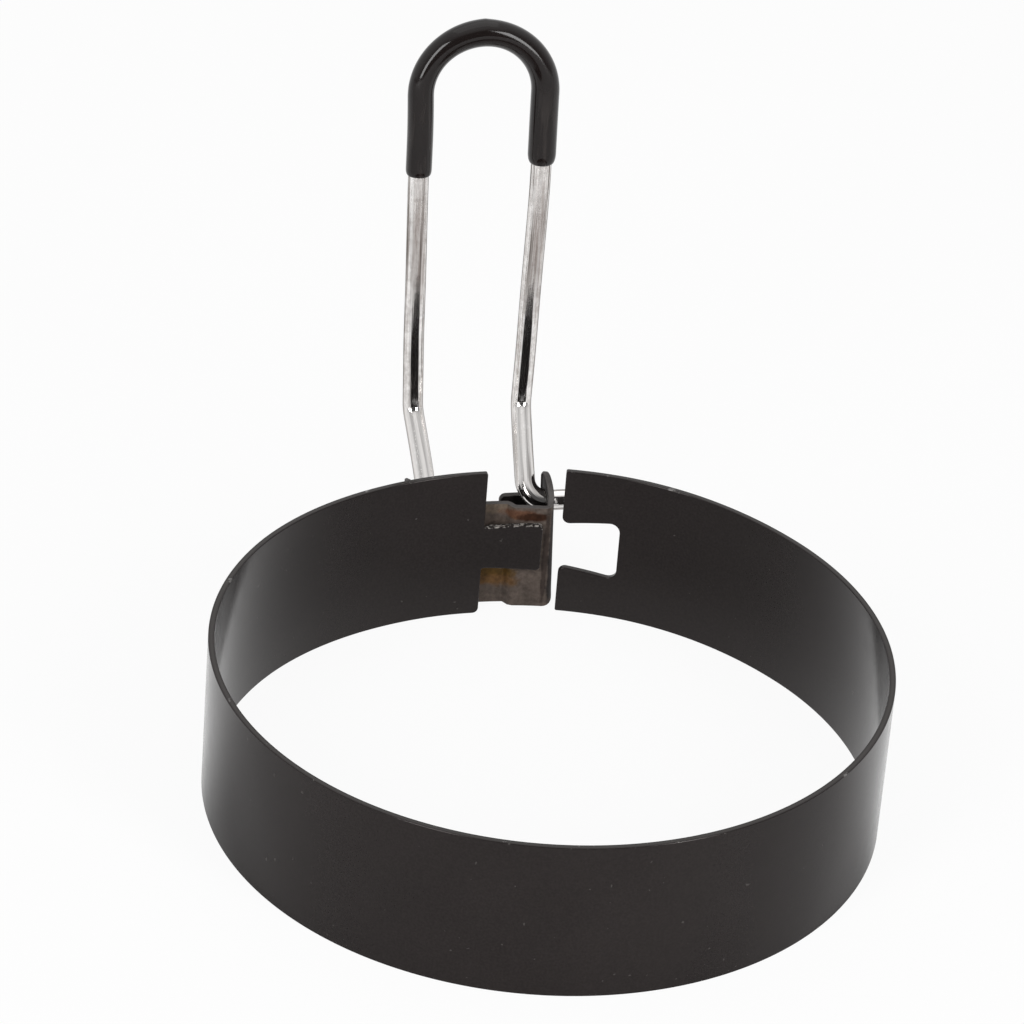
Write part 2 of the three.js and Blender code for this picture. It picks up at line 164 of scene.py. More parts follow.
def sheetPiece(name, loops, place, piece):
    # Flat sheet bounded by loops, filled with a grid of points, each carried to its place by
    # place(u, v, height above the sheet's middle). The rim is a half-round strip carried along the
    # loops: from one face, over a quarter circle, down the cut, over a quarter circle, to the other.
    edge, half, spacing = piece["edge"], piece["sheet"] / 2, piece["spacing"]
    outward = [unit(np.roll(loop, -1, 0) - np.roll(loop, 1, 0))[:, ::-1] * [1, -1] for loop in loops]
    inset = [loop - edge * out for loop, out in zip(loops, outward)]
    rim, out = np.concatenate(loops), np.concatenate(outward)
    inner = np.concatenate(inset)
    low, high = rim.min(0), rim.max(0)
    counts = np.maximum(2, np.round((high - low) / piece["grid"])).astype(int)
    u, v = np.meshgrid(*(np.linspace(low[k], high[k], counts[k] + 1) for k in (0, 1)), indexing="ij")
    fill = np.stack([u.ravel(), v.ravel()], 1)
    fill = fill[insideOf(fill, inset)]
    fill = fill[nearest(fill, inner) > 0.5 * spacing]  # so that no fill point crowds the rim
    flat = np.concatenate([inner, fill])
    starts = np.cumsum([0] + [len(loop) for loop in loops])
    spans = list(zip(starts[:-1], starts[1:]))
    follow = np.concatenate([np.roll(np.arange(a, b), -1) for a, b in spans])
    edges = np.stack([np.arange(len(inner)), follow], 1)
    _, _, made, *_ = delaunay_2d_cdt(flat.tolist(), edges.tolist(), [], 0, 1e-7)
    triangles = np.array(made)
    triangles = triangles[insideOf(flat[triangles].mean(1), inset)]
    count, ring = len(flat), len(inner)

    quarter = np.radians([72, 54, 36, 18, 0])
    turn = np.concatenate([quarter, -quarter[::-1]])
    rows = len(turn)
    rise = np.where(np.arange(rows) < rows / 2, half - edge, edge - half) + edge * np.sin(turn)
    rowsFlat = inner[None] + edge * np.cos(turn)[:, None, None] * out[None]
    uv = np.concatenate([flat, flat, rowsFlat.reshape(-1, 2)])
    height = np.concatenate([np.full(count, half), np.full(count, -half), np.repeat(rise, ring)])
    points = place(uv[:, 0], uv[:, 1], height)

    # normals from small steps up from the sheet and out from its rim
    tiny = 1e-3
    up = unit(place(uv[:, 0], uv[:, 1], height + tiny) - place(uv[:, 0], uv[:, 1], height - tiny))
    outs = np.tile(out, (rows, 1))
    side = slice(2 * count, None)
    away = unit(place(uv[side, 0] + tiny * outs[:, 0], uv[side, 1] + tiny * outs[:, 1], height[side])
                - place(uv[side, 0] - tiny * outs[:, 0], uv[side, 1] - tiny * outs[:, 1], height[side]))
    normals = up * np.where(np.arange(len(uv)) < count, 1, -1)[:, None]
    angle = np.repeat(turn, ring)[:, None]
    normals[side] = np.cos(angle) * away + np.sin(angle) * up[side]

    rowIndex = np.concatenate([np.arange(ring)[None], 2 * count + np.arange(rows * ring).reshape(rows, ring),
                               count + np.arange(ring)[None]])
    quads = np.stack([rowIndex[:-1], rowIndex[:-1][:, follow], rowIndex[1:][:, follow], rowIndex[1:]], -1)
    # marks for the material: millimetres from the rim, and 1 on the outer face to 0 on the inner one
    gap = nearest(flat, rim)
    fromEdge = np.concatenate([gap, gap, np.zeros(rows * ring)])
    face = np.concatenate([np.ones(count), np.zeros(count), np.repeat(np.linspace(0.95, 0.05, rows), ring)])
    return makePiece(name, points, [triangles, triangles + count, quads.reshape(-1, 4)], normals, uv,
                     {"fromEdge": fromEdge, "outerFace": face})


def tube(path, radii, sides, across):
    # point = path + radius * spoke, spoke = cos(a) * side + sin(a) * other, where side is square to the
    # path and to the direction across, which the path never takes; returns points, spokes and tangents
    tangent = unit(np.gradient(path, axis=0))
    side = unit(np.cross(tangent, across))
    other = np.cross(side, tangent)
    angle = np.linspace(0, 2 * math.pi, sides, endpoint=False)[:, None]
    spoke = np.cos(angle) * side[:, None] + np.sin(angle) * other[:, None]
    return path[:, None] + radii[:, None, None] * spoke, spoke, tangent


def addNode(tree, kind, inputs=None, **settings):
    # an input is linked if its value is another node's socket, and set otherwise
    made = tree.nodes.new(kind)
    for key, value in settings.items():
        setattr(made, key, value)
    for key, value in (inputs or {}).items():
        if isinstance(value, bpy.types.NodeSocket):
            tree.links.new(value, made.inputs[key])
        else:
            made.inputs[key].default_value = value
    return made


def noise(tree, vector, scale, detail=2.0, roughness=0.5):
    return addNode(tree, "ShaderNodeTexNoise", {"Vector": vector, "Scale": scale, "Detail": detail,
                                                "Roughness": roughness}).outputs["Fac"]


def remap(tree, value, low, high, toLow=0.0, toHigh=1.0, smooth=False):
    # low becomes toLow and high becomes toHigh, with nothing past them
    return addNode(tree, "ShaderNodeMapRange", {"Value": value, "From Min": low, "From Max": high,
                   "To Min": toLow, "To Max": toHigh},
                   interpolation_type="SMOOTHSTEP" if smooth else "LINEAR").outputs["Result"]


def pattern(tree, vector, scale, detail, roughness, *limits):
    # noise of that scale in waves per metre, its values remapped by the limits
    return remap(tree, noise(tree, vector, scale, detail, roughness), *limits)


def calc(tree, operation, a, b=0.0):
    return addNode(tree, "ShaderNodeMath", {0: a, 1: b}, operation=operation).outputs[0]


def product(tree, first, *others):
    for other in others:
        first = calc(tree, "MULTIPLY", first, other)
    return first


def distanceFrom(tree, value, middle):
    return calc(tree, "ABSOLUTE", calc(tree, "SUBTRACT", value, middle))


def blendColour(tree, share, a, b):
    # colours are sockets or (red, green, blue); the result goes from a at share 0 to b at share 1
    made = addNode(tree, "ShaderNodeMix", {0: share}, data_type="RGBA")
    for key, value in ((6, a), (7, b)):
        if isinstance(value, bpy.types.NodeSocket):
            tree.links.new(value, made.inputs[key])
        else:
            made.inputs[key].default_value = (*value, 1.0)
    return made.outputs[2]


def stretched(tree, vector, scale):
    return addNode(tree, "ShaderNodeMapping", {"Vector": vector, "Scale": scale}).outputs["Vector"]


def axesOf(tree, vector):
    return addNode(tree, "ShaderNodeSeparateXYZ", {0: vector}).outputs


def mark(tree, name):
    return addNode(tree, "ShaderNodeAttribute", attribute_name=name).outputs["Fac"]


def bump(tree, height, distance, strength, under=None):
    inputs = {"Height": height, "Distance": distance, "Strength": strength}
    if under is not None:
        inputs["Normal"] = under
    return addNode(tree, "ShaderNodeBump", inputs).outputs["Normal"]


def relief(tree, vector, scale, detail, distance, strength, under=None):
    return bump(tree, noise(tree, vector, scale, detail), distance, strength, under)


def span(limits):
    return [limit * mm for limit in limits]


def atHeights(tree, z, low, high, least=0.0, most=1.0, smooth=False):
    # remap by the height above the floor, with the limits in millimetres
    return remap(tree, z, low * mm, high * mm, least, most, smooth)


def newMaterial(name, **sockets):
    material = bpy.data.materials.new(name)
    material.use_nodes = True
    tree = material.node_tree
    shader = tree.nodes["Principled BSDF"]
    for key, value in sockets.items():
        shader.inputs[key.replace("_", " ")].default_value = value
    place = addNode(tree, "ShaderNodeTexCoord").outputs["Object"]
    return material, tree, shader, place


def link(tree, shader, **sockets):
    for key, value in sockets.items():
        tree.links.new(value, shader.inputs[key.replace("_", " ")])


view = {"place": (-0.168529, -0.646364, 0.453243), "right": (0.976686, -0.203255, 0.069075),
        "up": (0.049573, 0.526620, 0.848654), "lens": 186.78, "sensor": 36, "near": 0.01, "far": 20}


def makeCamera():
    data = bpy.data.cameras.new("camera")
    data.sensor_width = view["sensor"]
    data.lens = view["lens"]
    data.clip_start, data.clip_end = view["near"], view["far"]
    camera = bpy.data.objects.new("camera", data)
    right, up = np.array(view["right"]), np.array(view["up"])
    axes = np.stack([right, up, np.cross(right, up)], 1)
    camera.matrix_world = Matrix.Translation(view["place"]) @ Matrix(axes.tolist()).to_4x4()
    bpy.context.scene.collection.objects.link(camera)
    bpy.context.scene.camera = camera


# metres; each mirror pair is where reflections start to see the floor white and where they see it so in full
floorLook = {"size": 6.0, "colour": (0.86, 0.86, 0.86), "whiteShare": 0.93,
             "mirrorAlong": (0.245, 0.969, 0), "mirrorBehind": (-0.03, 0.0), "mirrorOutside": (0.030, 0.050)}


def makeFloor():
    # a square at height 0, near white to the camera and lit by the lamps for all else
    size = floorLook["size"] / 2
    mesh = bpy.data.meshes.new("floor")
    mesh.from_pydata([(-size, -size, 0), (size, -size, 0), (size, size, 0), (-size, size, 0)], [],
                     [(0, 1, 2, 3)])
    floor = bpy.data.objects.new("floor", mesh)
    bpy.context.scene.collection.objects.link(floor)
    material = bpy.data.materials.new("paleFloor")
    material.use_nodes = True
    tree = material.node_tree
    tree.nodes.clear()
    lit = addNode(tree, "ShaderNodeBsdfDiffuse", {"Color": (*floorLook["colour"], 1)}).outputs[0]
    white = addNode(tree, "ShaderNodeEmission", {"Color": (1, 1, 1, 1), "Strength": 1.0}).outputs[0]
    path = addNode(tree, "ShaderNodeLightPath").outputs
    seen = calc(tree, "MAXIMUM", path["Is Camera Ray"], path["Is Transmission Ray"])
    # reflections see the floor white behind the ring and outside it, and as it is lit elsewhere
    place = addNode(tree, "ShaderNodeNewGeometry").outputs["Position"]
    along = addNode(tree, "ShaderNodeVectorMath", {0: place, 1: floorLook["mirrorAlong"]},
                    operation="DOT_PRODUCT").outputs["Value"]
    fromRing = addNode(tree, "ShaderNodeVectorMath", {0: place, 1: (0, ringY * mm, 0)},
                       operation="DISTANCE").outputs["Value"]
    mirrored = product(tree, path["Is Glossy Ray"],
                       remap(tree, along, *floorLook["mirrorBehind"], 0, 1, True),
                       remap(tree, fromRing, *floorLook["mirrorOutside"], 0, 1, True))
    share = calc(tree, "MAXIMUM", calc(tree, "MULTIPLY", seen, floorLook["whiteShare"]), mirrored)
    mixed = addNode(tree, "ShaderNodeMixShader", {0: share, 1: lit, 2: white}).outputs[0]
    addNode(tree, "ShaderNodeOutputMaterial", {"Surface": mixed})
    mesh.materials.append(material)


# strengths: ambient on matt surfaces, the others in reflections; the spans are of the direction's y and z
studio = {"ambient": 0.32, "front": 0.075, "sides": 0.95, "frontSpan": (-0.9, 0.25),
          "above": 1.0, "aboveSpan": (0.55, 0.95), "lampsAimAt": 0.05}
lamps = {  # azimuth from -Y towards +X, elevation, distance, width and height in metres, watts
    "leftStrip": (-48, 23, 1.1, 0.32, 0.85, 7.8),
    "rightStrip": (33, 22, 1.1, 0.28, 0.85, 7.5),
    "overhead": (180, 72, 1.3, 1.2, 1.2, 2.5),
}


def background(tree, strength):
    return addNode(tree, "ShaderNodeBackground", {"Color": (1, 1, 1, 1), "Strength": strength}).outputs[0]


def makeWorld():
    # white to the camera, even on matt surfaces, and in reflections dark in front with pale sides and sky
    world = bpy.data.worlds.new("studio")
    bpy.context.scene.world = world
    world.use_nodes = True
    tree = world.node_tree
    tree.nodes.clear()
    _, y, z = axesOf(tree, addNode(tree, "ShaderNodeTexCoord").outputs["Generated"])
    mirrored = calc(tree, "MAXIMUM",
                    remap(tree, y, *studio["frontSpan"], studio["front"], studio["sides"], True),
                    remap(tree, z, *studio["aboveSpan"], 0, studio["above"], True))
    path = addNode(tree, "ShaderNodeLightPath").outputs
    seen = calc(tree, "MAXIMUM", path["Is Camera Ray"], path["Is Transmission Ray"])
    lit = addNode(tree, "ShaderNodeMixShader", {0: path["Is Glossy Ray"],
                                                1: background(tree, studio["ambient"]),
                                                2: background(tree, mirrored)}).outputs[0]
    shown = addNode(tree, "ShaderNodeMixShader", {0: seen, 1: lit, 2: background(tree, 1.0)}).outputs[0]
    addNode(tree, "ShaderNodeOutputWorld", {"Surface": shown})


def makeLamps():
    # each lamp stands off the aim by its distance, at its azimuth and elevation, and faces the aim
    for name, (azimuth, elevation, distance, width, height, power) in lamps.items():
        data = bpy.data.lights.new(name, "AREA")
        data.shape = "RECTANGLE"
        data.size, data.size_y = width, height
        data.energy = power
        lamp = bpy.data.objects.new(name, data)
        a, e = math.radians(azimuth), math.radians(elevation)
        back = np.array([math.sin(a) * math.cos(e), -math.cos(a) * math.cos(e), math.sin(e)])
        right = unit(np.cross([0, 0, 1], back))
        axes = np.stack([right, np.cross(back, right), back], 1)
        centre = np.array([0, 0, studio["lampsAimAt"]]) + back * distance
        lamp.matrix_world = Matrix.Translation(centre.tolist()) @ Matrix(axes.tolist()).to_4x4()
        bpy.context.scene.collection.objects.link(lamp)


makeCamera()
makeFloor()
makeWorld()
makeLamps()
print("camera, floor and light are set")


band = {
    "radius": 50.8, "height": 25.7, "sheet": 0.95, "edge": 0.14, "spacing": 0.8, "grid": (1.1, 1.3),
    "leftEnd": 0.4 / 50.3,  # radians from +Y
    "seam": 12.5, "corner": 0.3, "leftLowerCorner": 0.9,
    "setIn": 0.5, "inSteady": 13, "inSpring": 45, "setOut": 0.65, "outSteady": 8, "outSpring": 40,
    "tongue": {"middle": 12.05, "reach": 9.5, "root": 7.4, "tip": 8.3, "rootRound": 0.4, "tipRound": 0.7},
    "notch": {"middle": 12.2, "reach": -9.2, "root": 7.9, "tip": 10.35, "rootRound": 1.1, "tipRound": 1.5},
}


def bandPlace(u, v, height):
    # u / radius is the azimuth from +Y towards +X; the radius springs in near one end, out near the other
    azimuth = u / band["radius"]
    right = band["leftEnd"] + band["seam"] / band["radius"]
    fromRight = (azimuth - right) * band["radius"]
    fromLeft = (2 * math.pi + band["leftEnd"] - azimuth) * band["radius"]
    eased = [np.clip((x - a) / (b - a), 0, 1) for x, a, b in (
        (fromRight, band["outSteady"], band["outSpring"]), (fromLeft, band["inSteady"], band["inSpring"]))]
    out, into = (1 - e * e * (3 - 2 * e) for e in eased)
    radius = band["radius"] + band["setOut"] * out - band["setIn"] * into - band["sheet"] / 2 + height
    return np.stack([radius * np.sin(azimuth), ringY + radius * np.cos(azimuth), v], 1)


def bandOutline():
    # the flat strip from its right end, with the notch, to its left end, with the tongue: u along it, v up
    left = (2 * math.pi + band["leftEnd"]) * band["radius"]
    right = band["leftEnd"] * band["radius"] + band["seam"]

    def end(start, side, lock, lower):
        # corners of one end from below: along the cut, round the tongue or notch, and up to the rim
        x = start + side * lock["reach"]
        z, root, tip = lock["middle"], lock["root"] / 2, lock["tip"] / 2
        return [(start, 0, lower), (start, z - root, lock["rootRound"]), (x, z - tip, lock["tipRound"]),
                (x, z + tip, lock["tipRound"]), (start, z + root, lock["rootRound"]),
                (start, band["height"], band["corner"])]

    corners = end(left, 1, band["tongue"], band["leftLowerCorner"])
    corners += end(right, -1, band["notch"], band["corner"])[::-1]
    return closedLine(corners, band["spacing"])


bandPiece = sheetPiece("coated_band", [bandOutline()], bandPlace, band)

# How the rows of the looks read: a pattern is noise, with its waves per metre, detail and roughness, then
# the values at which it starts and is full, and what these become if not 0 and 1. Waves and pores are
# reliefs, with waves per metre, detail, height in metres and strength. Any other pair is where an effect
# starts and where it is full.
coatingLook = {
    "dark": (0.0088, 0.0070, 0.0068), "pale": (0.0165, 0.0135, 0.0130), "speck": (0.045, 0.041, 0.039),
    # the cut colour is a painted highlight along the middle of the cut edge
    "cut": (0.038, 0.035, 0.033), "worn": (0.17, 0.165, 0.16),
    "reflection": 0.24, "tint": (1.0, 0.92, 0.90, 1.0), "sheen": 0.75, "sheenRoughness": 0.12,
    "clouds": (55, 3, 0.5, 0.35, 0.65, 0, 0.35), "grain": (2600, 3, 0.6, 0.35, 0.7, 0, 0.65),
    "specks": (1150, 1, 0.5, 0.775, 0.79), "rubs": (380, 4, 0.7, 0.645, 0.69), "rubsFromEdge": (0.16, 0.02),
    "roughness": (420, 3, 0.5, 0.3, 0.7, 0.11, 0.17), "cutSpan": (0.06, 0.01),
    "waves": (30, 1, 0.0002, 0.12), "pores": (1500, 2, 0.00002, 0.3),
    # pale flecks on the tongue's upper edge: weld spatter and a painted highlight
    "spatterAndHighlight": {"colour": (0.30, 0.28, 0.26), "above": 4.0, "height": (0.6, 0.4), "start": (0.4, 1.0),
                "end": (10.2, 9.6), "flecks": (2100, 2, 0.5, 0.50, 0.64), "fromEdge": (0.24, 0.12)},
}


def makeCoating():
    # the shade follows slow clouds and fine grain; the cut is painted paler, a painted highlight line, and
    # in places rubbed bright
    look = coatingLook
    material, tree, shader, place = newMaterial(
        "satinBlackCoating", Specular_IOR_Level=look["reflection"], Specular_Tint=look["tint"],
        Sheen_Weight=look["sheen"], Sheen_Roughness=look["sheenRoughness"])
    shade = calc(tree, "ADD", pattern(tree, place, *look["clouds"]), pattern(tree, place, *look["grain"]))
    colour = blendColour(tree, shade, look["dark"], look["pale"])
    colour = blendColour(tree, pattern(tree, place, *look["specks"]), colour, look["speck"])
    # painted highlight: the middle of the cut takes the paler cut colour
    onCut = remap(tree, distanceFrom(tree, mark(tree, "outerFace"), 0.5), *look["cutSpan"])
    colour = blendColour(tree, onCut, colour, look["cut"])
    fromEdge = mark(tree, "fromEdge")
    worn = product(tree, remap(tree, fromEdge, *look["rubsFromEdge"]), pattern(tree, place, *look["rubs"]))
    colour = blendColour(tree, worn, colour, look["worn"])
    # weld spatter along the tongue's upper edge, with a painted highlight of the lit edge
    spatterAndHighlight = look["spatterAndHighlight"]
    x, _, z = axesOf(tree, place)
    fromTop = distanceFrom(tree, z, (band["tongue"]["middle"] + spatterAndHighlight["above"]) * mm)
    onTongue = product(tree, remap(tree, fromTop, *span(spatterAndHighlight["height"])),
                       remap(tree, x, *span(spatterAndHighlight["start"])), remap(tree, x, *span(spatterAndHighlight["end"])))
    flecks = product(tree, pattern(tree, place, *spatterAndHighlight["flecks"]),
                     remap(tree, fromEdge, *spatterAndHighlight["fromEdge"]))
    colour = blendColour(tree, product(tree, onTongue, flecks), colour, spatterAndHighlight["colour"])
    waves = relief(tree, place, *look["waves"])
    link(tree, shader, Base_Color=colour, Roughness=pattern(tree, place, *look["roughness"]),
         Normal=relief(tree, place, *look["pores"], waves))
    return material


bandPiece.data.materials.append(makeCoating())
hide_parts("ring_band")
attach(bandPiece, "ring")
print("the band is made")


bracket = {
    "sheet": 0.95, "edge": 0.13, "spacing": 0.5, "grid": (0.6, 0.7), "lineSpacing": 0.4,
    "halfWidth": 11.7, "webFront": 50.45, "toeIn": math.radians(2.6),
    "bottom": 0.5, "webTop": 18.75, "middleHalf": 5.0, "joggleDepth": 1.2, "joggleRun": 0.7,
    "joggleRound": 0.6, "fold": 1.0, "depth": 6.2, "lipLength": 7.6, "lipTop": 17.55, "lipRound": 1.0,
    "lowerRound": 1.8, "earRadius": 4.0, "earBehind": 0.6, "earAbove": 0.2, "hole": 1.85,
    "backPastFlange": 1.02,  # along the sheet, from the flange's straight part to the ear's back edge
    "backRound": 0.3, "earSteps": 40, "earStart": 4, "earFoot": 0.25, "earSink": 0.1, "holeSteps": 48,
}


def bracketLine():
    # the folded sheet's middle line from above, y from the ring's axis: the web's middle on a circle
    # that lies deeper by the joggle, its sides on the band's circle, the flanges straight back, the
    # lips straight inwards; the left half is the right half's mirror image
    half = bracket["sheet"] / 2
    side = bracket["webFront"] + half
    middle = side + bracket["joggleDepth"]
    inner = bracket["middleHalf"] - bracket["joggleRun"] / 2
    outer = bracket["middleHalf"] + bracket["joggleRun"] / 2
    flangeX = bracket["halfWidth"] - half
    lipY = bracket["webFront"] + bracket["depth"] - half

    def on(radius, x, rounding=0.0):
        # the corner at x on a circle about the ring's axis
        return x, math.sqrt(radius ** 2 - x ** 2), rounding

    right = [on(middle, inner / 2), on(middle, inner, bracket["joggleRound"]),
             on(side, outer, bracket["joggleRound"]),
             on(side, (2 * outer + flangeX) / 3), on(side, (outer + 2 * flangeX) / 3),
             on(side, flangeX, bracket["fold"]), (flangeX, lipY, bracket["fold"]),
             (bracket["halfWidth"] - bracket["lipLength"], lipY, 0.0)]
    left = [(-x, y, r) for x, y, r in right[::-1]]
    return openLine([*left, on(middle, 0), *right], bracket["lineSpacing"])


middleLine = bracketLine()
lineLength = alongLine(middleLine)
lineLength = lineLength - lineLength[-1] / 2
heading = np.unwrap(np.arctan2(*np.gradient(middleLine, lineLength, axis=0).T[::-1]))


def bracketPlace(u, v, height):
    # along the folded middle line, out from it by the height, then leaning in with v
    x, y = (np.interp(u, lineLength, middleLine[:, k]) for k in (0, 1))
    turn = np.interp(u, lineLength, heading)
    x, y = x + height * np.sin(turn), y - height * np.cos(turn)
    lean = 1 - (v - pinHeight) * math.tan(bracket["toeIn"]) / bracket["halfWidth"]
    return np.stack([x * lean, ringY + y, v], 1)


def bracketOutline():
    # the unfolded sheet: the web with rounded lower corners at its folds, the flanges and lips from a
    # little higher, each ear's arc about its hole, and the web's straight upper edge between the ears
    half = bracket["sheet"] / 2
    flangeX = bracket["halfWidth"] - half
    straight = (middleLine[:, 0] > 0) & (np.abs(middleLine[:, 0] - flangeX) < 1e-6)
    flangeStart, flangeEnd = lineLength[straight].min(), lineLength[straight].max()
    pin = flangeStart + (pinY - ringY) - middleLine[straight][:, 1].min()
    back = flangeEnd + bracket["backPastFlange"]
    earU, earZ, radius = pin + bracket["earBehind"], pinHeight + bracket["earAbove"], bracket["earRadius"]
    first = math.acos((back - earU) / radius)
    last = math.pi - math.asin((bracket["webTop"] + bracket["earSink"] - earZ) / radius)
    ear = [(earU + radius * math.cos(a), earZ + radius * math.sin(a), 0)
           for a in np.linspace(first, last, bracket["earSteps"])]
    low = bracket["bottom"] + bracket["lowerRound"]
    tip = lineLength[-1]
    lowerArc = bracket["lowerRound"] - 0.05  # just short of the edge that it has to fit
    side = [(flangeStart, bracket["bottom"], lowerArc), (flangeStart, low, 0),
            (tip, low, bracket["lipRound"]), (tip, bracket["lipTop"], bracket["lipRound"]),
            (back, bracket["lipTop"], bracket["backRound"]), (back, ear[0][1], bracket["backRound"]),
            *ear[bracket["earStart"]:],  # the arc's first points give way to the rounding before them
            (ear[-1][0] - bracket["earFoot"], bracket["webTop"], 0)]
    other = [(-u, z, r) for u, z, r in side[::-1]]
    angle = np.linspace(0, 2 * math.pi, bracket["holeSteps"], endpoint=False)
    across, upward = bracket["hole"] * np.cos(angle), bracket["hole"] * np.sin(angle)
    holes = [np.stack([s * (pin + across), pinHeight - s * upward], 1) for s in (1, -1)]
    return [closedLine([*side, *other], bracket["spacing"]), *holes]


bracketPiece = sheetPiece("steel_bracket", bracketOutline(), bracketPlace, bracket)

steelLook = {
    "grey": (0.099, 0.078, 0.066), "cut": (0.085, 0.078, 0.075), "metallic": 0.1, "reflection": 0.12,
    "fine": (1400, 4, 0.65), "blotch": (420, 4, 0.65), "wobble": 1.4, "mottle": (0.75, 1.25, 0.58, 1.22),
    "roughness": (0.3, 0.7, 0.5, 0.65), "blackGrain": (0.35, 0.7), "relief": (0.00003, 0.4),
    "bareFace": (0.8, 0.97), "cutSpan": (0.49, 0.45), "bareTo": (55, 53),
    # heat tints on the web, then painted shade along the fold, later ones over earlier: middle x and z,
    # reach in x and z, softness, colour
    "heatTintsAndFoldShade": [
        (2.9, 5.3, 3.4, 1.5, 0.7, (0.125, 0.066, 0.026)),  # orange below the tongue
        (3.0, 6.6, 3.0, 1.0, 0.8, (0.095, 0.052, 0.013)),
        (2.2, 18.0, 2.6, 1.0, 0.8, (0.14, 0.108, 0.082)),  # beige and brown above it
        (6.2, 17.4, 2.8, 0.9, 0.7, (0.115, 0.055, 0.033)),
        (8.4, 17.0, 2.6, 0.75, 0.6, (0.036, 0.015, 0.008)),
        (4.9, 12.0, 5.1, 4.1, 0.12, (0.100, 0.077, 0.064)),  # plain grey round the tongue
        # painted shade: the last two darken the fold, where its bend turns from the light and where it
        # catches a highlight
        (10.6, 9.5, 0.5, 9.0, 0.5, (0.046, 0.034, 0.029)),  # dark along the fold
        (11.7, 10, 0.6, 10, 0.6, (0.030, 0.025, 0.024)),
    ],
}


def tinted(tree, colour, x, z, wobble, tint):
    # share = 1 inside the ellipse, fading over the softness: (1 + softness / 2 - distance) / softness,
    # with distance = sqrt(((x - middle x) / reach x)^2 + ((z - middle z) / reach z)^2) + wobble
    middleX, middleZ, reachX, reachZ, softness, shade = tint
    sideways = calc(tree, "DIVIDE", calc(tree, "SUBTRACT", x, middleX * mm), reachX * mm)
    upwards = calc(tree, "DIVIDE", calc(tree, "SUBTRACT", z, middleZ * mm), reachZ * mm)
    squared = calc(tree, "ADD", product(tree, sideways, sideways), product(tree, upwards, upwards))
    distance = calc(tree, "ADD", calc(tree, "SQRT", squared), wobble)
    share = remap(tree, distance, 1 + softness / 2, 1 - softness / 2, 0, 1, True)
    return blendColour(tree, share, colour, shade)


def makeBracketSteel():
    # the outside is steel with heat tints round the welded tongue and painted shade along the fold; the
    # inside and lips keep a black coat
    look = steelLook
    material, tree, shader, place = newMaterial("heatTintedSteel", Specular_IOR_Level=look["reflection"])
    fine, blotch = noise(tree, place, *look["fine"]), noise(tree, place, *look["blotch"])
    x, y, z = axesOf(tree, place)
    wobble = product(tree, calc(tree, "SUBTRACT", blotch, 0.5), look["wobble"])
    colour = look["grey"]
    # heat tints first, then the fold's painted shade
    for tint in look["heatTintsAndFoldShade"]:
        colour = tinted(tree, colour, x, z, wobble, tint)
    mottle = remap(tree, calc(tree, "ADD", fine, blotch), *look["mottle"])
    level = addNode(tree, "ShaderNodeCombineXYZ", {0: mottle, 1: mottle, 2: mottle}).outputs[0]
    colour = addNode(tree, "ShaderNodeVectorMath", {0: colour, 1: level}, operation="MULTIPLY").outputs[0]
    face = mark(tree, "outerFace")
    inWeb = remap(tree, y, *((ringY + reach) * mm for reach in look["bareTo"]))
    bare = product(tree, remap(tree, face, *look["bareFace"]), inWeb)
    onCut = remap(tree, distanceFrom(tree, face, 0.5), *look["cutSpan"])
    grain = remap(tree, fine, *look["blackGrain"])
    black = blendColour(tree, grain, coatingLook["dark"], coatingLook["pale"])
    black = blendColour(tree, onCut, black, look["cut"])
    link(tree, shader, Base_Color=blendColour(tree, bare, black, colour),
         Metallic=product(tree, bare, look["metallic"]), Roughness=remap(tree, blotch, *look["roughness"]),
         Normal=bump(tree, fine, *look["relief"]))
    return material


bracketPiece.data.materials.append(makeBracketSteel())
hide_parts("handle_bracket")
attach(bracketPiece, "ring")
print("the bracket is made")


wire = {  # elbow, kink and arch are the radii of the middle line's bends
    "radius": 1.6, "sides": 48, "spacing": 0.7, "tipRound": 0.35, "tipSteps": 6, "archSteps": 36,
    "pinEnd": 15.5, "rootHalf": 7.9, "elbow": 3.3, "lowerLean": math.radians(47.1), "lowerLength": 16,
    "kinkHalf": 8.8, "kink": 3.0, "upperLean": math.radians(5.8), "upperLength": 52.9, "arch": 9.75,
    "meanLean": 0.46, "shadeFrom": 29.5, "shadeFade": 2, "shadeLean": 0.052,
    # sideways bends of the legs: millimetres to the right, at this height, fading over this height
    "rightBends": [(0.3, 65, 13), (-0.23, 26, 9)],
    "leftBends": [(0.15, 76, 7), (-0.08, 41, 6), (0.12, 23, 5)], "bendFade": 8,
}
# square to a plane that leans as the wire does on the whole, so the wire never runs along it
wireAcross = np.array([0, math.cos(wire["meanLean"]), -math.sin(wire["meanLean"])])


def bendAt(before, corner, after, radius, step=math.radians(4)):
    # the spoke to the start of the bend, turned about the axis square to both straights
    arriving, leaving = unit(corner - before), unit(after - corner)
    turn = math.acos(float(arriving @ leaving))
    axis = unit(np.cross(arriving, leaving))
    start = corner - arriving * radius * math.tan(turn / 2)
    spoke = np.cross(arriving, axis) * radius
    angle = np.linspace(0, turn, math.ceil(turn / step) + 1)[:, None]
    return start - spoke + np.cos(angle) * spoke + np.sin(angle) * np.cross(axis, spoke)


def legSlope():
    # direction of the upper leg from the kink to where it touches the arch: that of the arch's centre
    # less asin(arch radius / distance to the centre)
    distance = math.hypot(wire["kinkHalf"], wire["upperLength"])
    return math.atan2(wire["upperLength"], -wire["kinkHalf"]) - math.asin(wire["arch"] / distance)


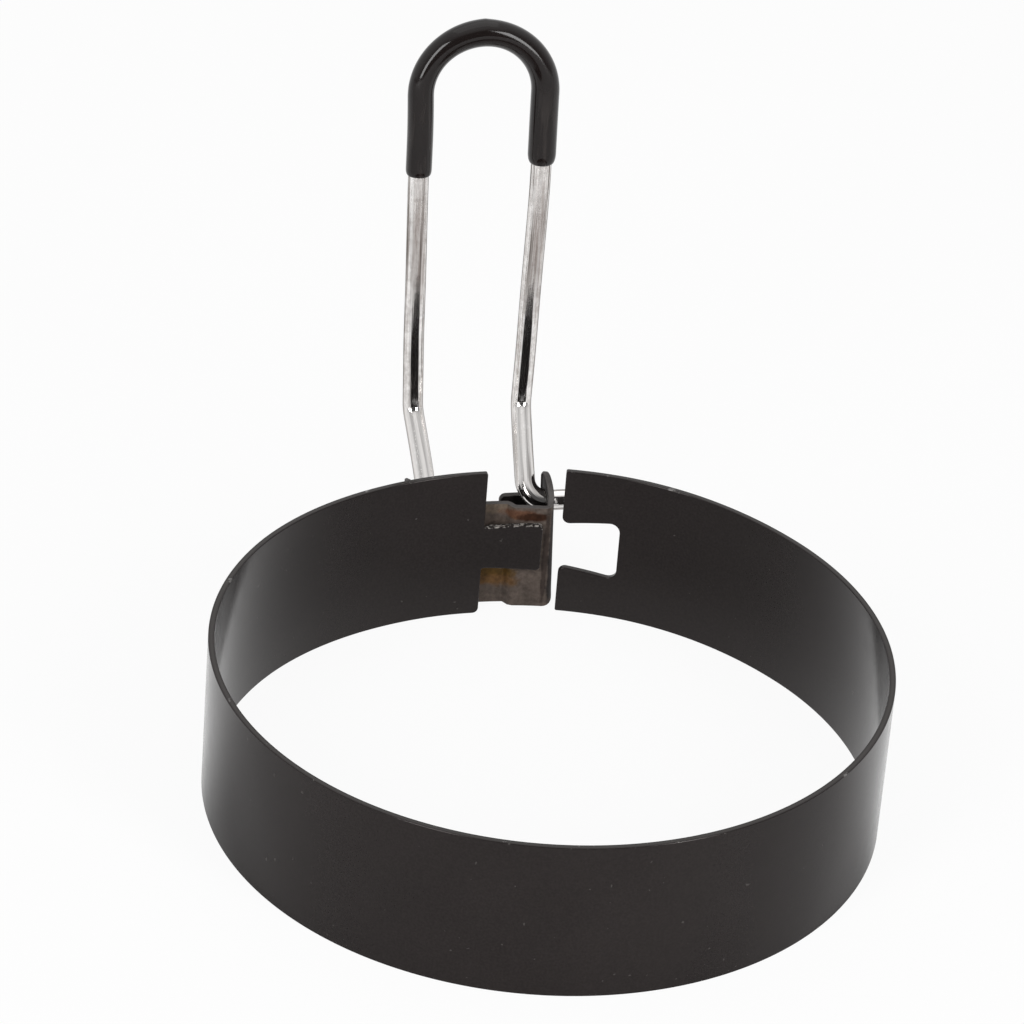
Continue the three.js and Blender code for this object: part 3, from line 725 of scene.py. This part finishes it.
def wirePath():
    # right half from the pin's end over elbow, kink and leg to the top of the arch, where
    # point = centre + arch radius * (cos(a) * x + sin(a) * up), then its mirror image
    pin = np.array([0, pinY, pinHeight])
    up = np.array([0, math.sin(wire["upperLean"]), math.cos(wire["upperLean"])])
    low = np.array([0, math.sin(wire["lowerLean"]), math.cos(wire["lowerLean"])]) * wire["lowerLength"]
    centre = low + up * wire["upperLength"]
    x = np.array([1.0, 0, 0])
    pinEnd, elbow, kink = x * wire["pinEnd"], x * wire["rootHalf"], low + x * wire["kinkHalf"]
    angle = np.linspace(legSlope() - math.pi / 2, math.pi / 2, wire["archSteps"])[:, None]
    arch = centre + wire["arch"] * (np.cos(angle) * x + np.sin(angle) * up)
    corners = np.concatenate([pinEnd[None], bendAt(pinEnd, elbow, kink, wire["elbow"]),
                              bendAt(elbow, kink, arch[0], wire["kink"]), arch])
    half = np.concatenate([split(corners, wire["spacing"]), corners[-1:]])
    path = np.concatenate([half, half[-2::-1] * [-1, 1, 1]]) + pin
    # each bend adds size * exp(-((height - middle) / fade)^2) to x, the right leg's at the right
    right, left = (sum(size * np.exp(-((path[:, 2] - middle) / fade) ** 2) for size, middle, fade in bends)
                   for bends in (wire["rightBends"], wire["leftBends"]))
    share = np.clip(path[:, 0] / wire["bendFade"] + 0.5, 0, 1)
    path[:, 0] += share * right + (1 - share) * left
    return path


def makeWire():
    # tube along the path; over the last tipRound at each end, radius = wire radius - tipRound * (1 - sin t)
    # and the station steps in by tipRound * (1 - cos t), with t from 0 at the flat end to 90 degrees
    path, rounding = wirePath(), wire["tipRound"]
    t = np.linspace(0, math.pi / 2, wire["tipSteps"])
    first = path[0] - np.outer(rounding * (1 - np.cos(t)), [1, 0, 0])
    last = path[-1] + np.outer(rounding * (1 - np.cos(t[::-1])), [1, 0, 0])
    spare = rounding + 0.1  # the path's own points are left out this close to the ends
    middle = path[(path[:, 0] < path[0, 0] - spare) & (path[:, 0] > path[-1, 0] + spare)]
    stations = np.concatenate([first, middle, last])
    lean = np.concatenate([t, np.full(len(middle), math.pi / 2), t[::-1]])
    radius = wire["radius"] - rounding * (1 - np.sin(lean))
    points, spoke, _ = tube(stations, radius, wire["sides"], wireAcross)
    endwise = np.sign(stations[:, :1]) * [1.0, 0, 0] * np.cos(lean)[:, None]
    normals = np.sin(lean)[:, None, None] * spoke + endwise[:, None]
    # above the kinks the shading leans back a little more than the mesh: z of the normal - slope * its y
    inLegs = np.clip((stations[:, 2] - wire["shadeFrom"]) / wire["shadeFade"], 0, 1)[:, None]
    normals[..., 2] -= wire["shadeLean"] * inLegs * normals[..., 1]
    rows, sides = points.shape[:2]
    poles = np.stack([stations[0], stations[-1]])
    rim = np.arange(sides)
    caps = [np.stack([np.full(sides, rows * sides + k), base + rim, base + np.roll(rim, -1)], 1)
            for k, base in ((0, 0), (1, (rows - 1) * sides))]
    length = alongLine(stations)
    girth = rim / sides * 2 * math.pi * wire["radius"]
    uv = np.stack(np.broadcast_arrays(length[:, None], girth[None]), -1).reshape(-1, 2)
    return makePiece("chromed_wire", np.concatenate([points.reshape(-1, 3), poles]),
                     [gridFaces(rows, sides), *caps],
                     np.concatenate([normals.reshape(-1, 3), [[1, 0, 0], [-1, 0, 0]]]),
                     np.concatenate([uv, [[0, 0], [length[-1], 0]]]))


wirePiece = makeWire()

# heights are millimetres above the floor; lines, drawn and the cloudy scale are waves per metre along the
# wire and round it; the painted shade on the legs' front is centred at how far round the wire that front is
chromeLook = {
    "dull": (0.46, 0.43, 0.41), "bright": (0.86, 0.84, 0.825), "grazing": (0.25, 0.24, 0.235, 1),
    # both colours here are painted: dark reflections along the legs, and shade on their front
    "paintedDarkReflection": (0.16, 0.135, 0.12), "paintedFrontShade": (0.30, 0.255, 0.235),
    "mottle": (620, 5, 0.7), "mottleSpan": (0.36, 0.6), "roughness": (0.13, 0.09), "relief": (0.00002, 0.3),
    "lines": (130, 2600, 1), "brightMottle": 0.6, "brightLines": (0.42, 0.56, 0, 0.4),
    "brightBelow": (33, 28, 0, 0.8), "brightAbove": (40, 55, 0, 0.3),
    "drawn": (28, 1350, 1), "drawnRelief": (0.00025, 0.5), "streakSpan": (0.545, 0.61),
    "streaksAbove": (44, 56, 0, 0.9), "streaksBelow": (30, 27, 0, 0.5),
    "paintedShadeAt": 7.6, "paintedShadeReach": (1.5, 0.6), "paintedShadeFrom": (44, 52), "paintedShadeTo": (68, 60, 0.45, 0.9),
    "paintedShadeLines": (0.35, 0.6, 1, 0.6),
    "cloudy": {"heights": (53, 70, 0, 0.45), "metallic": 0.45, "roughness": 0.4, "scale": (420, 1100, 1),
               "patches": (0.35, 0.65, 0.3, 1.5), "lines": (0.4, 0.56, 0.5, 1.15)},
}


def makeChrome():
    # thin chrome on drawn wire: mottled and finely lined, brighter below the kinks, with painted dark
    # reflections streaked along the legs, painted shade on their front and clouded towards the dip
    look = chromeLook
    cloudy = look["cloudy"]
    material, tree, shader, place = newMaterial("brightChrome", Specular_Tint=look["grazing"])
    surface = addNode(tree, "ShaderNodeUVMap", uv_map="surface").outputs["UV"]
    z = axesOf(tree, place)["Z"]
    mottle = noise(tree, place, *look["mottle"])
    lines = noise(tree, stretched(tree, surface, look["lines"]), 1.0, 3)
    share = calc(tree, "ADD", remap(tree, mottle, *look["mottleSpan"], 0, look["brightMottle"]),
                 remap(tree, lines, *look["brightLines"]))
    share = calc(tree, "MAXIMUM", share, atHeights(tree, z, *look["brightBelow"]))
    share = calc(tree, "ADD", share, atHeights(tree, z, *look["brightAbove"]))
    colour = blendColour(tree, share, look["dull"], look["bright"])
    # painted shade along the front of each leg's upper part
    fromFront = distanceFrom(tree, axesOf(tree, surface)["Y"], look["paintedShadeAt"] * mm)
    shadedHeights = product(tree, atHeights(tree, z, *look["paintedShadeFrom"]), atHeights(tree, z, *look["paintedShadeTo"]))
    paintedShadeShare = product(tree, remap(tree, fromFront, *span(look["paintedShadeReach"]), 0, 1, True), shadedHeights,
                      remap(tree, lines, *look["paintedShadeLines"]))
    colour = blendColour(tree, paintedShadeShare, colour, look["paintedFrontShade"])
    # dark streaks along the draw lines, painted reflections of dark surroundings, with drawn ridges between
    # them
    drawn = noise(tree, stretched(tree, surface, look["drawn"]), 1.0, 2)
    lined = calc(tree, "MAXIMUM", atHeights(tree, z, *look["streaksAbove"]),
                 atHeights(tree, z, *look["streaksBelow"]))
    paintedDarkReflections = product(tree, remap(tree, drawn, *look["streakSpan"]), lined)
    # thin milky patches
    patches = pattern(tree, stretched(tree, surface, cloudy["scale"]), 1.0, 4, 0.7, *cloudy["patches"])
    clouded = product(tree, atHeights(tree, z, *cloudy["heights"], True),
                      product(tree, patches, remap(tree, lines, *cloudy["lines"])))
    rough = calc(tree, "ADD", remap(tree, mottle, *look["mottleSpan"], *look["roughness"]),
                 product(tree, clouded, cloudy["roughness"]))
    ridges = bump(tree, drawn, *look["drawnRelief"])
    link(tree, shader, Base_Color=blendColour(tree, paintedDarkReflections, colour, look["paintedDarkReflection"]),
         Metallic=remap(tree, clouded, 0, 1, 1, cloudy["metallic"]), Roughness=rough,
         Normal=bump(tree, mottle, *look["relief"], ridges))
    return material


wirePiece.data.materials.append(makeChrome())
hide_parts("wire_handle")
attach(wirePiece, "handle")
print("the wire is made")


dip = {
    "bore": 1.61, "leftWall": 0.41, "crownWall": 0.55, "rightWall": 0.59, "sides": 64, "stations": 150,
    "leftLength": 12.95, "rightLength": 11.8, "leftRound": 1.0, "rightRound": 1.7, "roundSteps": 10,
    # part of the wall that is left at the very end, and what the shoulders' outsides lose
    "leftShare": 0.4, "rightShare": 0.15, "leftThin": 0.15, "rightThin": 0.22, "clear": 0.4,
}


def makeDip():
    # sleeve on the wire's path: radius = bore + wall * share, where the wall eases from each leg's to the
    # crown's by cos^4 of the way along the arch, and the share falls by a quarter ellipse at each end
    path = wirePath()
    length = alongLine(path)
    crown = length[len(length) // 2]
    halfArch = wire["arch"] * (math.pi - legSlope())
    start, end = crown - halfArch - dip["rightLength"], crown + halfArch + dip["leftLength"]
    turn = np.linspace(0, math.pi / 2, dip["roundSteps"])
    evenly = np.linspace(start + dip["rightRound"] + dip["clear"], end - dip["leftRound"] - dip["clear"],
                         dip["stations"])
    stations = np.concatenate([start + dip["rightRound"] * (1 - np.cos(turn)), evenly,
                               end - dip["leftRound"] * (1 - np.cos(turn[::-1]))])
    centre = np.stack([np.interp(stations, length, path[:, k]) for k in range(3)], 1)
    away = np.clip((stations - crown) / halfArch, -1, 1)
    leg = np.where(away < 0, dip["rightWall"], dip["leftWall"])
    wall = leg + (dip["crownWall"] - leg) * np.cos(away * math.pi / 2) ** 4
    share = np.ones(len(stations))
    share[:len(turn)] = dip["rightShare"] + (1 - dip["rightShare"]) * np.sin(turn)
    share[-len(turn):] = dip["leftShare"] + (1 - dip["leftShare"]) * np.sin(turn[::-1])
    inner, spoke, tangent = tube(centre, np.full(len(centre), dip["bore"]), dip["sides"], wireAcross)
    # the outside of each shoulder is thinner by thin * sin(pi * |away|^0.6) * outward^2
    outward = unit(np.cross(tangent, np.cross(unit(np.gradient(tangent, axis=0) + 1e-9), tangent)))
    thin = np.where(away < 0, dip["rightThin"], dip["leftThin"]) * np.sin(math.pi * np.abs(away) ** 0.6)
    facing = np.clip(-(spoke * outward[:, None]).sum(2), 0, 1)
    radius = dip["bore"] + (wall * share)[:, None] - thin[:, None] * facing ** 2
    points = centre[:, None] + radius[..., None] * spoke
    around = np.roll(points, -1, axis=1) - np.roll(points, 1, axis=1)
    normals = unit(np.cross(np.gradient(points, axis=0), around))
    normals *= np.sign((normals * spoke).sum(2, keepdims=True))
    both = np.concatenate([points, inner[::-1]])
    normals = np.concatenate([normals, -spoke[::-1]])
    return makePiece("vinyl_dip", both.reshape(-1, 3), [gridFaces(*both.shape[:2], closedRows=True)],
                     normals.reshape(-1, 3))


dipPiece = makeDip()

vinylLook = {
    "dark": (0.0065, 0.0046, 0.0043), "pale": (0.0115, 0.0085, 0.0080), "line": (0.019, 0.015, 0.014),
    "reflection": 0.3, "clouds": (120, 3), "roughness": (0.3, 0.7, 0.08, 0.13),
    "waves": (150, 2, 0.0001, 0.35),
    "lines": (1100, 1100, 22), "lineSpan": (0.5, 0.62), "linesBelow": (84, 78),
}


def makeVinyl():
    # slow clouds all over, and fine upright lines on the legs
    look = vinylLook
    material, tree, shader, place = newMaterial("glossyBlackVinyl", Specular_IOR_Level=look["reflection"])
    cloud = noise(tree, place, *look["clouds"])
    lines = pattern(tree, stretched(tree, place, look["lines"]), 1.0, 2, 0.5, *look["lineSpan"])
    onLegs = product(tree, lines, atHeights(tree, axesOf(tree, place)["Z"], *look["linesBelow"]))
    colour = blendColour(tree, cloud, look["dark"], look["pale"])
    link(tree, shader, Base_Color=blendColour(tree, onLegs, colour, look["line"]),
         Roughness=remap(tree, cloud, *look["roughness"]), Normal=relief(tree, place, *look["waves"]))
    return material


dipPiece.data.materials.append(makeVinyl())
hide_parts("vinyl_grip")
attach(dipPiece, "handle")
print("the vinyl dip is made")

bpy.context.scene.view_settings.view_transform = "Standard"
